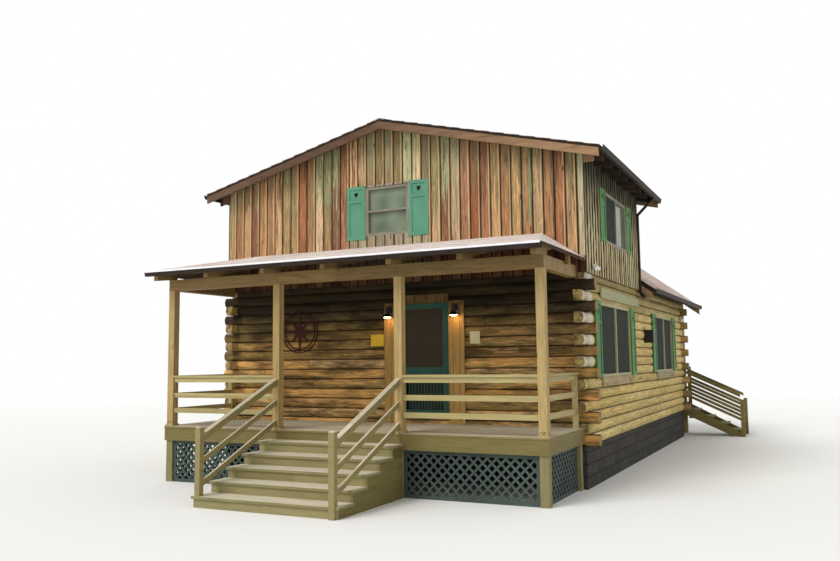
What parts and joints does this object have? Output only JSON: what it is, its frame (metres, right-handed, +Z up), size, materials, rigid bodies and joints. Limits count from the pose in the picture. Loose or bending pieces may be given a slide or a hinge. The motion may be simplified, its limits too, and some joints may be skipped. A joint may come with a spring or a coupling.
{
  "type": "log cabin",
  "caption": "Two-storey log cabin with covered front porch, low-pitched boarded upper storey, steep rear roof, back porch and a hinged screen door over a hinged entry door.",
  "frame": {"origin": "On the underside of the front foundation wall, on the cabin's centre line and directly below the front log wall's outer face, at ground level", "axes": "+X to the cabin's right as seen from the front, +Y from the front towards the back, +Z up"},
  "size_m": [9.4295, 15.231, 6.6771],
  "materials": {
    "door_dark": "painted dark",
    "door_green": "painted dark green",
    "flood": "white",
    "floor": "boards",
    "foundation": "dark masonry",
    "frame_cream": "painted cream",
    "frame_grey": "painted grey",
    "glass": "clear",
    "iron": "dark, worn",
    "lamp": "black",
    "lattice": "grey-green",
    "log": "stained, weathered",
    "mesh": "insect screen",
    "plaque": "painted",
    "porch_wood": "stained treated lumber",
    "roof_trim": "dark brown",
    "shingles": "mineral-surfaced shingles",
    "shutter": "painted green",
    "siding": "stained boards and battens"
  },
  "bodies": {
    "cabin": {"back_beam": "porch_wood", "back_door": "door_dark", "back_porch": "porch_wood", "back_porch_rails": "porch_wood", "back_posts": "porch_wood", "back_stair": "porch_wood", "back_stair_rails": "porch_wood", "compass_wheel": "iron", "deck": "porch_wood", "deck_posts": "porch_wood", "door_frame": "porch_wood", "dormer_cheeks": "siding", "downspouts": "roof_trim", "eave_gutters": "roof_trim", "eave_rafter_tails": "porch_wood", "flood_lights": "flood", "foundation": "foundation", "front_gable_wall": "siding", "front_risers": "porch_wood", "front_shutters": "shutter", "front_stair_rails": "porch_wood", "front_stringers": "porch_wood", "front_treads": "porch_wood", "front_wall_left": "log", "front_wall_over_door": "log", "front_wall_right": "log", "front_wall_sill": "log", "ground_floor": "floor", "left_upper_wall": "siding", "left_wall": "log", "lower_window_frames": "frame_cream", "porch_beams": "porch_wood", "porch_front_rails": "porch_wood", "porch_joists": "porch_wood", "porch_lamps": "lamp", "porch_lattice": "lattice", "porch_posts": "porch_wood", "porch_rafters": "porch_wood", "porch_rims": "porch_wood", "porch_roof": "shingles", "porch_side_rails": "porch_wood", "rake_boards": "porch_wood", "rear_gable": "siding", "rear_roof": "shingles", "rear_wall": "log", "right_upper_wall": "siding", "right_wall": "log", "side_shutters": "shutter", "upper_floor": "floor", "upper_roof": "shingles", "upper_window_frames": "frame_grey", "wall_box": "lamp", "wall_plaques": "plaque", "window_glass": "glass", "window_planks": "porch_wood"},
    "screen_door": {"screen_door": "door_green", "screen_mesh": "mesh"},
    "entry_door": {"entry_door": "door_dark"}
  },
  "joints": [
    {"name": "screen_door_hinge", "type": "hinge", "parent": "cabin", "child": "screen_door", "pos_m": [1.214, -0.006, 2.18], "axis": [0, 0, 1], "range_deg": [0, 95]},
    {"name": "entry_door_hinge", "type": "hinge", "parent": "cabin", "child": "entry_door", "pos_m": [1.214, 0.171, 2.18], "axis": [0, 0, -1], "range_deg": [0, 95]}
  ]
}
